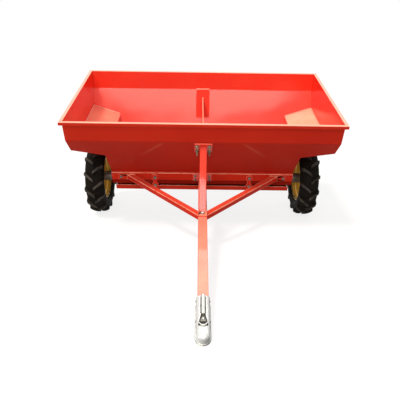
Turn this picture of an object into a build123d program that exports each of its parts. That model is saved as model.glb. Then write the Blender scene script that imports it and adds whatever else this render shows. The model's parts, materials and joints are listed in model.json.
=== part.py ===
"""Towed sand spreader: a sheet hopper over a ground-driven roller, on two lugged wheels and a drawbar."""

import os
from math import asin, degrees, hypot, sqrt

from build123d import *

os.makedirs("parts", exist_ok=True)

# Working frame: X to the right seen from the drawbar end, Y to the rear and Z up from the ground,
# with the axle over Y = 0 and the drawbar level. The last section stands the machine as it parks.

# Wheels and axle
tyre_radius = 225.0
tyre_width = 110.0
lug_count = 14
lug_height = 16.0
lug_width = 20.0
lug_sweep = 46.0
lug_overlap = 4.0
lug_end_inset = 0.5
lug_phase = 10.0
wheel_stand_off = 106.0
rim_seat_radius = 127.0
rim_flange_rise = 11.0
rim_width = 76.0
rim_sheet = 3.0
disc_offset = 8.0
hub_radius = 30.0
hub_stub = 11.0
axle_radius = 15.0
axle_collar_radius = 21.0
axle_collar_width = 8.0
running_gap = 0.05
seat_gap = 0.05
end_play = 1.5

# Hopper, drops are measured down from the rim and rises up from the axle
hopper_width = 1400.0
hopper_depth = 744.0
sheet = 3.0
lip_reach = 13.5
lip_drop = 16.0
band_drop = 106.0
band_lean = 5.0
end_floor_drop = 196.0
end_overhang = 167.5
trough_top_drop = 240.0
wheel_headroom = 67.0
shoulder_rise = 126.0
shoulder_width = 304.0
throat_rise = 39.0
throat_width = 104.0

# Roller and its bearings
roller_radius = 58.0
roller_rib_height = 9.0
roller_rib_width = 8.0
roller_rib_count = 10
roller_side_gap = 5.0
bearing_flange_size = 92.0
bearing_flange_thickness = 9.0
bearing_corner = 14.0
bearing_boss_radius = 27.0
bearing_length = 24.0
bearing_hub_gap = 5.0

# Cross beams, gate and its straps
beam_height = 40.0
beam_depth = 20.0
beam_wall = 3.0
gate_drop = 39.0
gate_face = 28.0
gate_sheet = 3.0
gate_inset = 19.0
metering_gap = 6.0
strap_inset = 248.0
strap_thickness = 5.0
strap_top_drop = 5.0
strap_gate_lap = 15.0
strap_lug_size = 36.0
strap_lug_corner = 8.0
strap_waist = 22.0
strap_slot_length = 22.0
strap_slot_width = 10.0

# Stay across the inside of the hopper
stay_thickness = 6.0
stay_top_drop = 145.0
stay_height = 60.0
doubler_setback = 4.0
doubler_width = 84.0
doubler_length = 172.0
doubler_thickness = 8.0

# Drawbar, strut and braces
drawbar_size = 45.0
drawbar_wall = 4.0
drawbar_flange_width = 108.0
drawbar_flange_thickness = 8.0
joint_reach = 531.0
strut_size = 35.0
strut_wall = 3.0
strut_flange_setback = 9.0
strut_flange_width = 90.0
strut_flange_length = 84.0
strut_flange_thickness = 8.0
strut_foot_length = 84.0
strut_foot_thickness = 6.0
strut_foot_lead = 20.0
brace_size = 30.0
brace_wall = 3.0
brace_inset = 111.0
brace_tab_width = 96.0
brace_tab_height = 36.0
brace_tab_shift = 24.0
brace_tab_thickness = 6.0

# Ball coupling
coupling_nose_reach = 1291.0
coupling_length = 214.0
coupling_wall = 3.5
coupling_edge_radius = 5.5
coupling_skirt_radius = 31.0
coupling_skirt_thickness = 4.0
coupling_skirt_setback = 16.0
drawbar_insert = 34.0
ball_radius = 25.0
ball_gap = 0.25
ball_wall_length = 22.0
ball_wall_rise = 8.0
ball_crown_step = 1.0
latch_front_width = 30.0
latch_rear_width = 16.0
latch_length = 56.0
latch_rise = 8.0
latch_setback = 26.0
lever_width = 15.0
lever_thickness = 5.0
lever_length = 110.0
lever_rise = 14.0

# Heights and half sizes that follow
axle_height = tyre_radius
rim_height = 2 * tyre_radius + wheel_headroom + trough_top_drop
bend_height = rim_height - band_drop
end_floor_height = rim_height - end_floor_drop
trough_top_height = rim_height - trough_top_drop
shoulder_height = axle_height + shoulder_rise
throat_height = axle_height + throat_rise
wall_end = hopper_width / 2 - lip_reach
wall_side = hopper_depth / 2 - lip_reach
bend_side = wall_side - band_lean
trough_end = wall_end - end_overhang
wheel_centre = trough_end + wheel_stand_off
beam_back = shoulder_width / 2
beam_face = beam_back + beam_depth
beam_middle = shoulder_height - beam_height / 2
gate_top = shoulder_height - beam_height - gate_drop
gate_bottom = gate_top - gate_face
drawbar_top = beam_middle + drawbar_size / 2
axle_axis = Axis((0, 0, axle_height), (1, 0, 0))
axle_plane = Plane(origin=(0, 0, axle_height), x_dir=(1, 0, 0), z_dir=(0, -1, 0))

# Front panel's outer face, from the rim to the throat, as (Y, Z)
panel_path = [
    (-wall_side, rim_height),
    (-bend_side, bend_height),
    (-shoulder_width / 2, shoulder_height),
    (-throat_width / 2, throat_height),
]
rear_path = [(-y, z) for y, z in reversed(panel_path)]

# Plane on the front panel's sloped outer face, square to the panel, X to the right and Y up the slope
slope_run = bend_side - shoulder_width / 2
slope_fall = bend_height - shoulder_height
slope_length = hypot(slope_run, slope_fall)
slope_normal = (0, -slope_fall / slope_length, -slope_run / slope_length)
slope_plane = Plane(origin=(0, -bend_side, bend_height), x_dir=(1, 0, 0), z_dir=slope_normal)

pieces = {}


def rim_corner(inset, side_x, side_y):
    """Corner of the rim's plan, a given distance in from the lip's outer edge."""
    return (side_x * (hopper_width / 2 - inset), side_y * (hopper_depth / 2 - inset))


def lip_plan(inset, first, second):
    """Mitred strip of the lip between two corners, from the outer edge in to the given inset."""
    with BuildSketch(Plane.XY.offset(rim_height)) as plan:
        with BuildLine():
            Polyline(
                rim_corner(0, *first),
                rim_corner(0, *second),
                rim_corner(inset, *second),
                rim_corner(inset, *first),
                close=True,
            )
        make_face()
    return plan.sketch


# Front panel of the hopper: folded lip, upright band, slope and throat plate in one sheet
with BuildPart() as hopper_front:
    with BuildSketch(Plane.YZ):
        with BuildLine():
            Polyline(*panel_path)
            offset(amount=sheet, side=Side.LEFT, kind=Kind.INTERSECTION)
        make_face()
    extrude(amount=wall_end, both=True)
    with BuildSketch(Plane.XZ):
        with BuildLine():
            Polyline(
                (-wall_end, rim_height),
                (wall_end, rim_height),
                (wall_end, end_floor_height),
                (trough_end, trough_top_height),
                (trough_end, 0),
                (-trough_end, 0),
                (-trough_end, trough_top_height),
                (-wall_end, end_floor_height),
                close=True,
            )
        make_face()
    extrude(amount=hopper_depth, both=True, mode=Mode.INTERSECT)
    extrude(lip_plan(lip_reach + sheet, (-1, -1), (1, -1)), amount=-sheet)
    extrude(lip_plan(sheet, (-1, -1), (1, -1)), amount=-lip_drop)
pieces["hopper_front"] = hopper_front

with BuildPart() as hopper_rear:
    mirror(hopper_front.part, about=Plane.XZ)
pieces["hopper_rear"] = hopper_rear

# Right end of the hopper: an upright wall between the two panels, with its own length of lip
with BuildPart() as hopper_end_right:
    with BuildSketch(Plane.YZ.offset(wall_end)):
        with BuildLine():
            Polyline(*panel_path, *rear_path, close=True)
        make_face()
        with Locations((0, end_floor_height / 2)):
            Rectangle(hopper_depth, end_floor_height, mode=Mode.SUBTRACT)
    extrude(amount=-sheet)
    extrude(lip_plan(lip_reach + sheet, (1, -1), (1, 1)), amount=-sheet)
    extrude(lip_plan(sheet, (1, -1), (1, 1)), amount=-lip_drop)
    add(hopper_front.part, mode=Mode.SUBTRACT)
    add(hopper_rear.part, mode=Mode.SUBTRACT)
pieces["hopper_end_right"] = hopper_end_right

# Sloped floor over the right wheel, from the end wall down to the trough
floor_slope = (end_floor_height - trough_top_height) / end_overhang
floor_rise = sheet * hypot(1, floor_slope)
floor_outer = wall_end - sheet
floor_outer_height = end_floor_height - sheet * floor_slope
with BuildPart() as end_floor_right:
    with BuildSketch(Plane.XZ):
        with BuildLine():
            Polyline(
                (trough_end, trough_top_height),
                (floor_outer, floor_outer_height),
                (floor_outer, floor_outer_height + floor_rise),
                (trough_end, trough_top_height + floor_rise),
                close=True,
            )
        make_face()
    extrude(amount=hopper_depth, both=True)
    with BuildSketch(Plane.YZ):
        with BuildLine():
            Polyline(*panel_path, *rear_path, close=True)
        make_face()
    extrude(amount=hopper_width, both=True, mode=Mode.INTERSECT)
    add(hopper_front.part, mode=Mode.SUBTRACT)
    add(hopper_rear.part, mode=Mode.SUBTRACT)
pieces["end_floor_right"] = end_floor_right

# Right end of the trough, with a square lobe that carries the axle's bearing
with BuildPart() as trough_end_right:
    with BuildSketch(Plane.YZ.offset(trough_end)):
        with BuildLine():
            Polyline(*panel_path, *rear_path, close=True)
        make_face()
        with Locations((0, trough_top_height + floor_rise + rim_height / 2)):
            Rectangle(hopper_depth, rim_height, mode=Mode.SUBTRACT)
        with Locations((0, axle_height)):
            Rectangle(bearing_flange_size, bearing_flange_size)
            Circle(bearing_boss_radius, mode=Mode.SUBTRACT)
    extrude(amount=-sheet)
    add(hopper_front.part, mode=Mode.SUBTRACT)
    add(hopper_rear.part, mode=Mode.SUBTRACT)
    lobe_edges = edges().filter_by(Axis.X).sort_by(Axis.Z)[:2]
    chamfer(lobe_edges, length=bearing_corner)
pieces["trough_end_right"] = trough_end_right

# Stay: a flat bar from panel to panel with a doubler plate on each slope
with BuildPart() as doubler:
    with BuildSketch(slope_plane.offset(-sheet)):
        with Locations((0, -doubler_setback - doubler_length / 2)):
            Rectangle(doubler_width, doubler_length)
    extrude(amount=-doubler_thickness)

stay_middle = rim_height - stay_top_drop - stay_height / 2
with BuildPart() as centre_stay:
    with BuildSketch(Plane.YZ):
        with BuildLine():
            Polyline(*panel_path, *rear_path, close=True)
        make_face()
        with Locations((0, stay_middle)):
            Rectangle(hopper_depth, stay_height, mode=Mode.INTERSECT)
    extrude(amount=stay_thickness / 2, both=True)
    add(doubler.part)
    mirror(doubler.part, about=Plane.XZ)
    add(hopper_front.part, mode=Mode.SUBTRACT)
    add(hopper_rear.part, mode=Mode.SUBTRACT)
pieces["centre_stay"] = centre_stay

# Cross beam along the trough's shoulder, a rectangular tube as long as the trough
with BuildPart() as front_beam:
    with BuildSketch(Plane.YZ):
        with Locations((-(beam_back + beam_face) / 2, beam_middle)):
            Rectangle(beam_depth, beam_height)
            Rectangle(beam_depth - 2 * beam_wall, beam_height - 2 * beam_wall, mode=Mode.SUBTRACT)
    extrude(amount=trough_end, both=True)
pieces["front_beam"] = front_beam

# Metering gate: a folded bar whose flat leg runs back to the roller
gate_edge = roller_radius + metering_gap
with BuildPart() as gate:
    with BuildSketch(Plane.YZ):
        with BuildLine():
            Polyline((-beam_face, gate_top), (-beam_face, gate_bottom), (-gate_edge, gate_bottom))
            offset(amount=gate_sheet, side=Side.LEFT, kind=Kind.INTERSECTION)
        make_face()
    extrude(amount=trough_end - gate_inset, both=True)
pieces["gate"] = gate

# Right gate strap: a slotted lug on the beam, a waist and a lug that laps the gate
strap_x = trough_end - strap_inset
strap_upper = shoulder_height - strap_top_drop - strap_lug_size / 2
strap_lower = gate_top - strap_gate_lap + strap_lug_size / 2
with BuildPart() as gate_strap_right:
    with BuildSketch(Plane.XZ.offset(beam_face)):
        with Locations((strap_x, (strap_upper + strap_lower) / 2)):
            Rectangle(strap_waist, strap_upper - strap_lower)
        with BuildSketch(mode=Mode.PRIVATE) as strap_lug:
            Rectangle(strap_lug_size, strap_lug_size)
            chamfer(strap_lug.vertices(), length=strap_lug_corner)
        with Locations((strap_x, strap_upper), (strap_x, strap_lower)):
            add(strap_lug.sketch)
        with Locations((strap_x, strap_upper)):
            SlotOverall(strap_slot_length, strap_slot_width, rotation=90, mode=Mode.SUBTRACT)
    extrude(amount=strap_thickness)
pieces["gate_strap_right"] = gate_strap_right

# Drawbar: a square tube welded to a flange on the front beam
drawbar_start = beam_face + drawbar_flange_thickness
coupling_rear = coupling_nose_reach - coupling_length
drawbar_end = coupling_rear + drawbar_insert
drawbar_bore = drawbar_size - 2 * drawbar_wall
with BuildPart() as drawbar:
    with BuildSketch(Plane.XZ.offset(beam_face)):
        with Locations((0, beam_middle)):
            Rectangle(drawbar_flange_width, beam_height)
    extrude(amount=drawbar_flange_thickness)
    with BuildSketch(Plane.XZ.offset(drawbar_start)):
        with Locations((0, beam_middle)):
            Rectangle(drawbar_size, drawbar_size)
            Rectangle(drawbar_bore, drawbar_bore, mode=Mode.SUBTRACT)
    extrude(amount=drawbar_end - drawbar_start)
pieces["drawbar"] = drawbar

# Strut from the slope to the drawbar, with a flange above and a foot below
strut_flange_middle = -strut_flange_setback - strut_flange_length / 2
strut_top = slope_plane.offset(strut_flange_thickness).from_local_coords((0, strut_flange_middle, 0))
strut_foot = Vector(0, -joint_reach + strut_foot_lead, drawbar_top + strut_foot_thickness)
strut_line = strut_foot - strut_top
strut_plane = Plane(origin=strut_top, x_dir=(1, 0, 0), z_dir=strut_line)
strut_bore = strut_size - 2 * strut_wall
with BuildPart() as strut:
    with BuildSketch(strut_plane.offset(-strut_size)):
        Rectangle(strut_size, strut_size)
        Rectangle(strut_bore, strut_bore, mode=Mode.SUBTRACT)
    extrude(amount=strut_line.length + 2 * strut_size)
    split(bisect_by=slope_plane.offset(strut_flange_thickness), keep=Keep.TOP)
    split(bisect_by=Plane.XY.offset(drawbar_top + strut_foot_thickness), keep=Keep.TOP)
    with BuildSketch(slope_plane):
        with Locations((0, strut_flange_middle)):
            Rectangle(strut_flange_width, strut_flange_length)
    extrude(amount=strut_flange_thickness)
    with BuildSketch(Plane.XY.offset(drawbar_top)):
        with Locations((0, -joint_reach)):
            Rectangle(drawbar_size, strut_foot_length)
    extrude(amount=strut_foot_thickness)
pieces["strut"] = strut

# Right brace from the beam to the drawbar, with a bolting tab on the beam
brace_x = trough_end - brace_inset
brace_root = Vector(brace_x, -beam_face - brace_tab_thickness, beam_middle)
brace_tip = Vector(drawbar_size / 2, -joint_reach, beam_middle)
brace_line = brace_tip - brace_root
brace_plane = Plane(origin=brace_root, x_dir=(0, 0, 1), z_dir=brace_line)
brace_bore = brace_size - 2 * brace_wall
with BuildPart() as brace_right:
    with BuildSketch(brace_plane.offset(-2 * brace_size)):
        Rectangle(brace_size, brace_size)
        Rectangle(brace_bore, brace_bore, mode=Mode.SUBTRACT)
    extrude(amount=brace_line.length + 4 * brace_size)
    split(bisect_by=Plane.XZ.offset(beam_face + brace_tab_thickness), keep=Keep.TOP)
    split(bisect_by=Plane.YZ.offset(drawbar_size / 2), keep=Keep.TOP)
    with BuildSketch(Plane.XZ.offset(beam_face)):
        with Locations((brace_x + brace_tab_shift, beam_middle)):
            Rectangle(brace_tab_width, brace_tab_height)
    extrude(amount=brace_tab_thickness)
pieces["brace_right"] = brace_right

# Coupling: a pressed shell over the drawbar's end, with a domed head over the ball and a flat skirt
coupling_top = drawbar_top + coupling_wall
socket_radius = ball_radius + ball_gap
head_radius = socket_radius + coupling_wall
ball_reach = coupling_nose_reach - coupling_skirt_radius
ball_height = coupling_top - head_radius
coupling_bottom = ball_height + ball_wall_rise - ball_wall_length
neck_width = drawbar_size + 2 * coupling_wall
neck_end = ball_reach - socket_radius
cavity_end = ball_reach - head_radius
latch_front = ball_reach - latch_setback
latch_rear = latch_front - latch_length
skirt_rear = coupling_rear + coupling_skirt_setback
latch_plan = [
    (-latch_rear_width / 2, -latch_rear),
    (latch_rear_width / 2, -latch_rear),
    (latch_front_width / 2, -latch_front),
    (-latch_front_width / 2, -latch_front),
]


def ball_cover(radius, crown_radius):
    """Plug over the ball's place: a round wall, and on it a crown that curves down to both sides and both ends."""
    with BuildPart() as cover:
        with BuildSketch(Plane.XY.offset(ball_height)):
            with Locations((0, -ball_reach)):
                Circle(crown_radius)
        extrude(amount=radius)
        for plane, middle in ((Plane.XZ, 0), (Plane.YZ, -ball_reach)):
            with BuildSketch(plane):
                with Locations((middle, ball_height)):
                    Circle(radius)
            extrude(amount=coupling_nose_reach, both=True, mode=Mode.INTERSECT)
        with BuildSketch(Plane.XY.offset(coupling_bottom)):
            with Locations((0, -ball_reach)):
                Circle(radius)
        extrude(amount=ball_wall_length)
    return cover.part


coupling_head = ball_cover(head_radius, head_radius)
ball_socket = ball_cover(socket_radius, socket_radius - ball_crown_step)
with BuildPart() as coupling_body:
    with BuildSketch(Plane.XY.offset(coupling_bottom)):
        with Locations((0, -(coupling_rear + neck_end) / 2)):
            Rectangle(neck_width, neck_end - coupling_rear)
    extrude(amount=coupling_top - coupling_bottom)
    fillet(edges().filter_by(Axis.Y).group_by(Axis.Z)[-1], radius=coupling_edge_radius)
    add(coupling_head)
    with BuildSketch(Plane.XY.offset(coupling_bottom)):
        with Locations((0, -(skirt_rear + ball_reach) / 2)):
            Rectangle(2 * coupling_skirt_radius, ball_reach - skirt_rear)
        with Locations((0, -ball_reach)):
            Circle(coupling_skirt_radius)
    extrude(amount=coupling_skirt_thickness)
    with BuildSketch(Plane.XY.offset(drawbar_top)):
        with Locations((0, -(coupling_rear + cavity_end) / 2)):
            Rectangle(drawbar_size, cavity_end - coupling_rear)
    extrude(amount=-drawbar_size, mode=Mode.SUBTRACT)
    add(ball_socket, mode=Mode.SUBTRACT)
    with BuildSketch(Plane.XY.offset(drawbar_top)):
        with BuildLine():
            Polyline(*latch_plan, close=True)
        make_face()
    extrude(amount=2 * coupling_wall, mode=Mode.SUBTRACT)
pieces["coupling_body"] = coupling_body

# Latch block in the coupling's top, wider towards the ball
with BuildPart() as coupling_latch:
    with BuildSketch(Plane.XY.offset(drawbar_top)):
        with BuildLine():
            Polyline(*latch_plan, close=True)
        make_face()
    extrude(amount=coupling_wall + latch_rise)
pieces["coupling_latch"] = coupling_latch

# Lever that opens the latch, lying back over the drawbar
latch_top = coupling_top + latch_rise
lever_front = (latch_front + latch_rear) / 2
lever_bend = latch_rear
with BuildPart() as coupling_lever:
    with BuildSketch(Plane.YZ):
        with BuildLine():
            Polyline(
                (-lever_front, latch_top),
                (-lever_bend, latch_top),
                (-lever_front + lever_length, latch_top + lever_rise),
            )
            offset(amount=lever_thickness, side=Side.LEFT, kind=Kind.INTERSECTION)
        make_face()
    extrude(amount=lever_width / 2, both=True)
    grip_edges = faces().sort_by(Axis.Y)[-1].edges().filter_by(Axis.X, reverse=True)
    chamfer(grip_edges, length=lever_width / 3)
pieces["coupling_lever"] = coupling_lever

# Right bearing: a square flange on the trough's end with a boss towards the wheel
with BuildPart() as bearing_right:
    with BuildSketch(Plane.YZ.offset(trough_end)):
        with Locations((0, axle_height)):
            Rectangle(bearing_flange_size, bearing_flange_size)
    extrude(amount=bearing_flange_thickness)
    chamfer(edges().filter_by(Axis.X), length=bearing_corner)
    with BuildSketch(Plane.YZ.offset(trough_end)):
        with Locations((0, axle_height)):
            Circle(bearing_boss_radius)
    extrude(amount=bearing_length)
    with BuildSketch(Plane.YZ.offset(trough_end)):
        with Locations((0, axle_height)):
            Circle(axle_radius + running_gap)
    extrude(amount=bearing_length, mode=Mode.SUBTRACT)
pieces["bearing_right"] = bearing_right

# Axle: a through shaft with a collar outside each wheel
hub_start = trough_end + bearing_length + bearing_hub_gap
disc_face = wheel_centre + disc_offset
hub_end = disc_face + hub_stub
collar_start = hub_end + end_play
with BuildPart() as axle:
    with BuildSketch(Plane.YZ):
        with Locations((0, axle_height)):
            Circle(axle_radius)
    extrude(amount=collar_start + axle_collar_width, both=True)
    for side in (-1, 1):
        with BuildSketch(Plane.YZ.offset(side * collar_start)):
            with Locations((0, axle_height)):
                Circle(axle_collar_radius)
        extrude(amount=side * axle_collar_width)
pieces["axle"] = axle

# Roller: a drum on the axle with ribs along it
roller_end = trough_end - sheet - roller_side_gap
with BuildPart() as roller:
    with BuildSketch(Plane.YZ.offset(-roller_end)):
        with Locations((0, axle_height)):
            Circle(roller_radius - roller_rib_height)
            with PolarLocations(roller_radius / 2, roller_rib_count):
                Rectangle(roller_radius, roller_rib_width)
            Circle(roller_radius, mode=Mode.INTERSECT)
            Circle(axle_radius + seat_gap, mode=Mode.SUBTRACT)
    extrude(amount=2 * roller_end)
pieces["roller"] = roller

# Right hub: a barrel on the axle that the wheel disc is welded to
with BuildPart() as hub_right:
    with BuildSketch(Plane.YZ.offset(hub_start)):
        with Locations((0, axle_height)):
            Circle(hub_radius)
            Circle(axle_radius + running_gap, mode=Mode.SUBTRACT)
    extrude(amount=hub_end - hub_start)
pieces["hub_right"] = hub_right

# Right rim: a flanged barrel and a flat disc, seen in half section above the axle
rim_half = rim_width / 2
rim_flange_radius = rim_seat_radius + rim_flange_rise
with BuildPart() as rim_right:
    with BuildSketch(axle_plane):
        with BuildLine():
            Polyline(
                (wheel_centre - rim_half, rim_flange_radius),
                (wheel_centre - rim_half, rim_seat_radius),
                (wheel_centre + rim_half, rim_seat_radius),
                (wheel_centre + rim_half, rim_flange_radius),
            )
            offset(amount=rim_sheet, side=Side.RIGHT, kind=Kind.INTERSECTION)
        make_face()
        with BuildLine():
            Polyline(
                (disc_face, hub_radius + seat_gap),
                (disc_face - rim_sheet, hub_radius + seat_gap),
                (disc_face - rim_sheet, rim_seat_radius - rim_sheet / 2),
                (disc_face, rim_seat_radius - rim_sheet / 2),
                close=True,
            )
        make_face()
    revolve(axis=axle_axis)
pieces["rim_right"] = rim_right

# One lug on the outer half of the right tyre's top: its shoulder end lies to the rear of its centre end,
# its flat top stays within the tyre's radius and its root is sunk in the casing
lug_span = (lug_sweep + lug_width) / 2
lug_top = sqrt(tyre_radius**2 - lug_span**2)
lug_end = tyre_width / 2 - lug_end_inset
casing_radius = tyre_radius - lug_height
with BuildPart() as outer_lug:
    with BuildSketch(Plane.XY.offset(axle_height + lug_top)):
        with BuildLine():
            Polyline(
                (wheel_centre - lug_overlap, -lug_span),
                (wheel_centre + lug_end, lug_span - lug_width),
                (wheel_centre + lug_end, lug_span),
                (wheel_centre - lug_overlap, lug_width - lug_span),
                close=True,
            )
        make_face()
    extrude(amount=casing_radius - lug_height - lug_top)

with BuildPart() as inner_lug:
    mirror(outer_lug.part, about=Plane.YZ.offset(wheel_centre))

# Right tyre: a casing between the rim's flanges, with lugs that alternate from side to side
bead_half = rim_half - seat_gap
bead_radius = rim_seat_radius + seat_gap
ledge_radius = rim_flange_radius + seat_gap
lug_step = 180 / lug_count
with BuildPart() as tyre_right:
    with BuildSketch(axle_plane):
        with BuildLine():
            Polyline(
                (wheel_centre, bead_radius),
                (wheel_centre + bead_half, bead_radius),
                (wheel_centre + bead_half, ledge_radius),
                (wheel_centre + tyre_width / 2, ledge_radius),
                (wheel_centre + tyre_width / 2, casing_radius),
                (wheel_centre, casing_radius),
            )
            mirror(about=Plane.YZ.offset(wheel_centre))
        make_face()
    revolve(axis=axle_axis)
    for index in range(lug_count):
        add(outer_lug.part.rotate(axle_axis, lug_phase + 2 * index * lug_step))
        add(inner_lug.part.rotate(axle_axis, lug_phase + (2 * index + 1) * lug_step))
pieces["tyre_right"] = tyre_right

# Pieces that repeat on the other side or at the rear
twins = (
    ("rear_beam", front_beam, Plane.XZ),
    ("hopper_end_left", hopper_end_right, Plane.YZ),
    ("end_floor_left", end_floor_right, Plane.YZ),
    ("trough_end_left", trough_end_right, Plane.YZ),
    ("gate_strap_left", gate_strap_right, Plane.YZ),
    ("brace_left", brace_right, Plane.YZ),
    ("bearing_left", bearing_right, Plane.YZ),
    ("hub_left", hub_right, Plane.YZ),
    ("rim_left", rim_right, Plane.YZ),
    ("tyre_left", tyre_right, Plane.YZ),
)
for label, original, plane in twins:
    with BuildPart() as twin:
        mirror(original.part, about=plane)
    pieces[label] = twin

# Parked stance: the machine pitches about its axle until the coupling's nose meets the ground,
# and the origin goes to the middle of its footprint
nose_rise = coupling_bottom - axle_height
nose_distance = hypot(coupling_nose_reach, nose_rise)
parked_pitch = degrees(asin(tyre_radius / nose_distance) + asin(nose_rise / nose_distance))
pitched = Location((0, 0, axle_height), (parked_pitch, 0, 0)) * Location((0, 0, -axle_height))
footprint = Compound(children=[piece.part.moved(pitched) for piece in pieces.values()]).bounding_box()
parked = Location((0, -footprint.center().Y, 0)) * pitched

for label, piece in pieces.items():
    stood = piece.part.moved(parked)
    stood.label = label
    export_step(stood, f"parts/{label}.step")

print(f"parked pitch {parked_pitch:.4f} deg, axle at Y {-footprint.center().Y:.4f}, Z {axle_height:.4f}")
print(f"ball at Y {-ball_reach:.4f}, Z {ball_height:.4f}, coupling bottom {coupling_bottom:.4f}")
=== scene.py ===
"""Looks of a towed sand spreader: painted steel, lugged tyres, fasteners, welds and a zinc coupling."""

import json
import math
import random

import bmesh
import bpy
from mathutils import Matrix, Vector


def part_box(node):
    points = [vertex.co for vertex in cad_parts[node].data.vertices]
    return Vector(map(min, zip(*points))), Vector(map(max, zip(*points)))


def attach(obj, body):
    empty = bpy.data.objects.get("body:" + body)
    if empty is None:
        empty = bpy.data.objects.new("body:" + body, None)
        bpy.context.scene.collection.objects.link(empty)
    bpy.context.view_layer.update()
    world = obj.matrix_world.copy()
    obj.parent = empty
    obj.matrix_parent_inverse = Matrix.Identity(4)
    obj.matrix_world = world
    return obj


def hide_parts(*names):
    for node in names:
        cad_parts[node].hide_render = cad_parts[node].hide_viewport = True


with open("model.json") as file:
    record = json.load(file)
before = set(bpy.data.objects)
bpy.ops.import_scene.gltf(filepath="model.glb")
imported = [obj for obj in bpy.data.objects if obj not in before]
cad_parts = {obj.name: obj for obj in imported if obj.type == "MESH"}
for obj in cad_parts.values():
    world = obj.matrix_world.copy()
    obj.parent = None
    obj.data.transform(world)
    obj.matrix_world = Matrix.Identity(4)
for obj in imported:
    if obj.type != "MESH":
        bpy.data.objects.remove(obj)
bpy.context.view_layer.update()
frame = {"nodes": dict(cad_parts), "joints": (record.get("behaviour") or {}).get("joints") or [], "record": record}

# Pieces are drawn in millimetres with the drawbar level, X to the right seen from the drawbar end,
# Y to the rear and Z up, with the axle over Y = 0. PARKED stands them as the machine parks, in metres.
MM = 0.001
axle_turn = next(j for j in frame["joints"] if j["name"] == "axle_turn")
axle_at = Vector(axle_turn["pos_m"])
socket_axis = frame["record"]["mounts"][0]["axis"]
parked_pitch = math.atan2(socket_axis[1], -socket_axis[2])
PARKED = (
    Matrix.Translation(axle_at)
    @ Matrix.Rotation(parked_pitch, 4, "X")
    @ Matrix.Translation((0, 0, -axle_at.z))
    @ Matrix.Scale(MM, 4)
)
LEVEL = PARKED.inverted()

# Sizes that the fittings follow
AXLE_Z = axle_at.z / MM
RIM_TOP = 757.0
GATE_TOP = 272.0
WHEEL_X = 625.0
TROUGH_END = 519.0
BEAM_FACE = 172.0
BEAM_MIDDLE = 331.0
BEAM_BOTTOM = 311.0
DRAWBAR_HALF = 22.5
DRAWBAR_TOP = 353.5
BALL_Y = -1260.0
BALL_Z = 328.25
COUPLING_TOP = 357.0
SLOPE_NORMAL = Vector((0, -0.8301, -0.5576))
SLOPE_UP = Vector((0, -0.5576, 0.8301))
SLOPE_TOP = Vector((0, -353.5, 651.0))
HANDS = (-1, 1)
FORWARD = (0, -1, 0)
UP = (0, 0, 1)


# Shader nodes
def shader(name):
    """New material with its node tree, its principled shader and the object's coordinates."""
    material = bpy.data.materials.new(name)
    material.use_nodes = True
    tree = material.node_tree
    surface = tree.nodes["Principled BSDF"]
    coords = tree.nodes.new("ShaderNodeTexCoord").outputs["Object"]
    return material, tree, surface, coords


def noise(tree, coords, scale, detail=2.0, roughness=0.5, stretch=None):
    """Noise value over the object, in features per metre, stretched along the axes where asked."""
    if stretch:
        mapping = tree.nodes.new("ShaderNodeMapping")
        mapping.inputs["Scale"].default_value = stretch
        tree.links.new(coords, mapping.inputs["Vector"])
        coords = mapping.outputs["Vector"]
    node = tree.nodes.new("ShaderNodeTexNoise")
    node.inputs["Scale"].default_value = scale
    node.inputs["Detail"].default_value = detail
    node.inputs["Roughness"].default_value = roughness
    tree.links.new(coords, node.inputs["Vector"])
    return node.outputs["Fac"]


def ramp(tree, value, low, high, out_low=0.0, out_high=1.0):
    """Value taken from one range to another, and kept inside it."""
    node = tree.nodes.new("ShaderNodeMapRange")
    node.inputs["From Min"].default_value = low
    node.inputs["From Max"].default_value = high
    node.inputs["To Min"].default_value = out_low
    node.inputs["To Max"].default_value = out_high
    tree.links.new(value, node.inputs["Value"])
    return node.outputs["Result"]


def calculated(tree, operation, first, second=None):
    """Result of an operation on one or two values, the second of which may be a plain number."""
    node = tree.nodes.new("ShaderNodeMath")
    node.operation = operation
    tree.links.new(first, node.inputs[0])
    if isinstance(second, float):
        node.inputs[1].default_value = second
    elif second is not None:
        tree.links.new(second, node.inputs[1])
    return node.outputs[0]


def product(tree, first, second):
    return calculated(tree, "MULTIPLY", first, second)


def mixed(tree, share, first, second):
    """Colour mixed from two, each a colour of three numbers or a socket."""
    node = tree.nodes.new("ShaderNodeMix")
    node.data_type = "RGBA"
    tree.links.new(share, node.inputs["Factor"])
    for side, colour in (("A", first), ("B", second)):
        socket = next(s for s in node.inputs if s.name == side and s.type == "RGBA")
        if isinstance(colour, tuple):
            socket.default_value = (*colour, 1)
        else:
            tree.links.new(colour, socket)
    return next(s for s in node.outputs if s.type == "RGBA")


def bumped(tree, surface, layers):
    """Bump from a list of (height value, depth in metres), chained into the shader's normal."""
    normal = None
    for height, depth in layers:
        node = tree.nodes.new("ShaderNodeBump")
        node.inputs["Distance"].default_value = depth
        tree.links.new(height, node.inputs["Height"])
        if normal:
            tree.links.new(normal, node.inputs["Normal"])
        normal = node.outputs["Normal"]
    tree.links.new(normal, surface.inputs["Normal"])


def roughened(tree, surface, coords, scale, low, high):
    """Roughness that wanders between two values."""
    wander = noise(tree, coords, scale, detail=3.0)
    tree.links.new(ramp(tree, wander, 0.3, 0.7, low, high), surface.inputs["Roughness"])


def mark(tree, name):
    """Value of a mesh attribute, such as an edge's wear and painted light."""
    node = tree.nodes.new("ShaderNodeAttribute")
    node.attribute_name = name
    return node.outputs["Fac"]


def axes(tree, vector):
    """The X, Y and Z of a vector."""
    split = tree.nodes.new("ShaderNodeSeparateXYZ")
    tree.links.new(vector, split.inputs["Vector"])
    return split.outputs


def facing(tree):
    """The X, Y and Z of the direction that a surface faces."""
    return axes(tree, tree.nodes.new("ShaderNodeNewGeometry").outputs["Normal"])


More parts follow.
